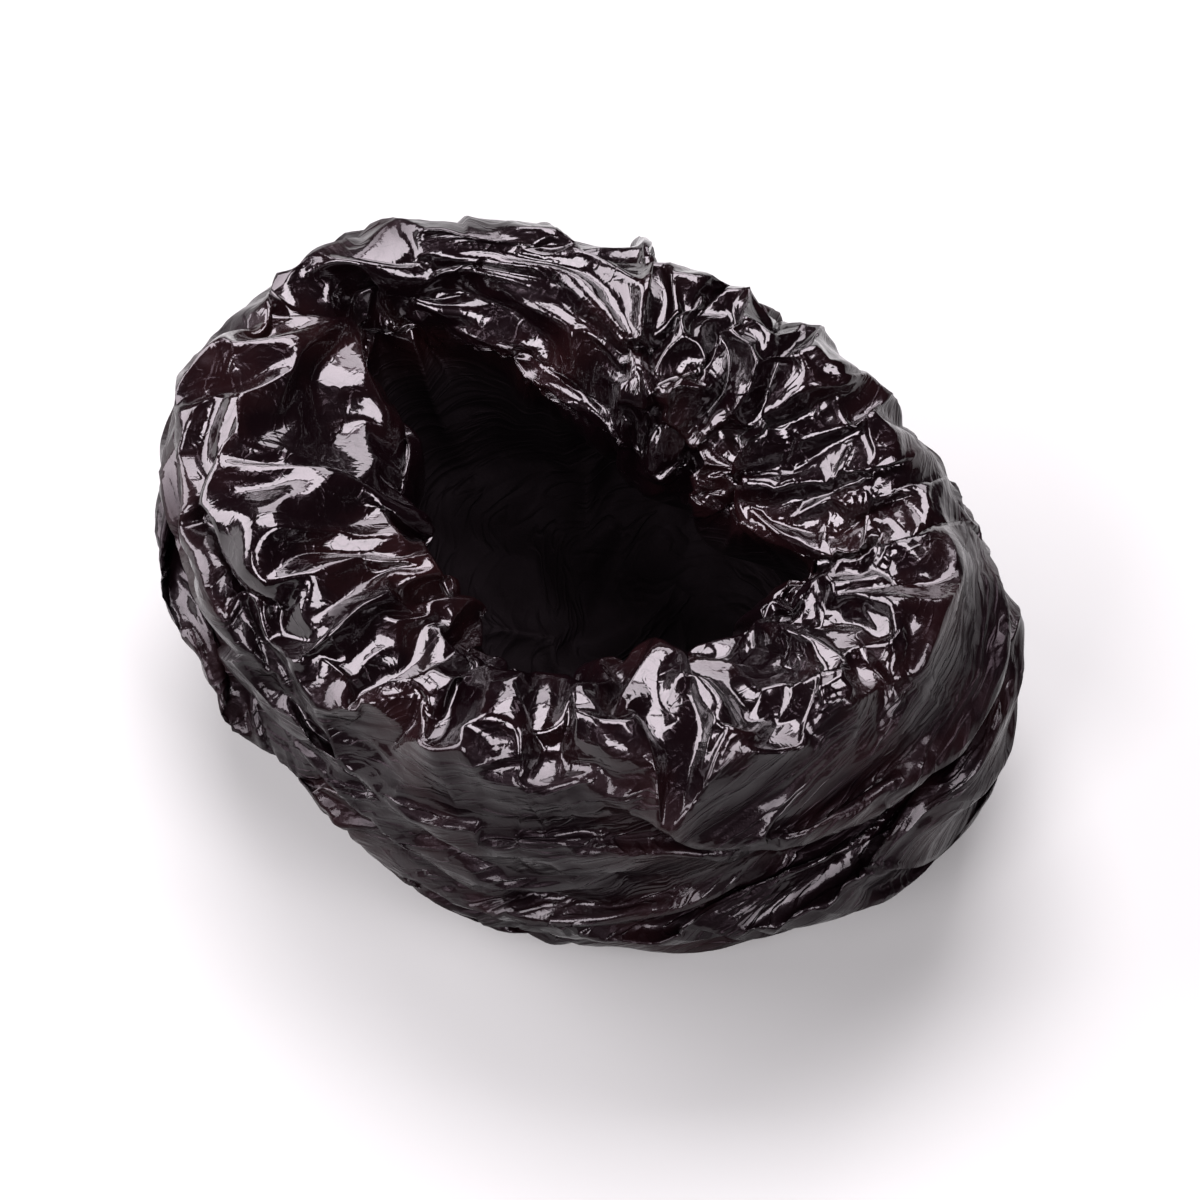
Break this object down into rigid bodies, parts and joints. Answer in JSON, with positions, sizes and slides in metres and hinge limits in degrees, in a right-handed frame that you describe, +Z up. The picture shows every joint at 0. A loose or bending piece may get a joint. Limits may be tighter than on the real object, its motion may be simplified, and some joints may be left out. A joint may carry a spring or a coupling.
{
  "type": "prune",
  "caption": "Pitted prune: a dried plum lying on its underside, a thick wrinkled cup of dark glossy skin round the open cavity that its stone left",
  "frame": {"origin": "on the resting surface, under the middle of the fruit's bounding box", "axes": "+Z up, out of the pit cavity; +X along the fruit's longest extent; +Y away from the side the picture shows"},
  "size_m": [0.0362, 0.0316, 0.0187],
  "materials": {
    "skin": "dark, glossy, finely wrinkled fruit skin"
  },
  "bodies": {
    "root": {"prune": "skin"}
  },
  "joints": []
}
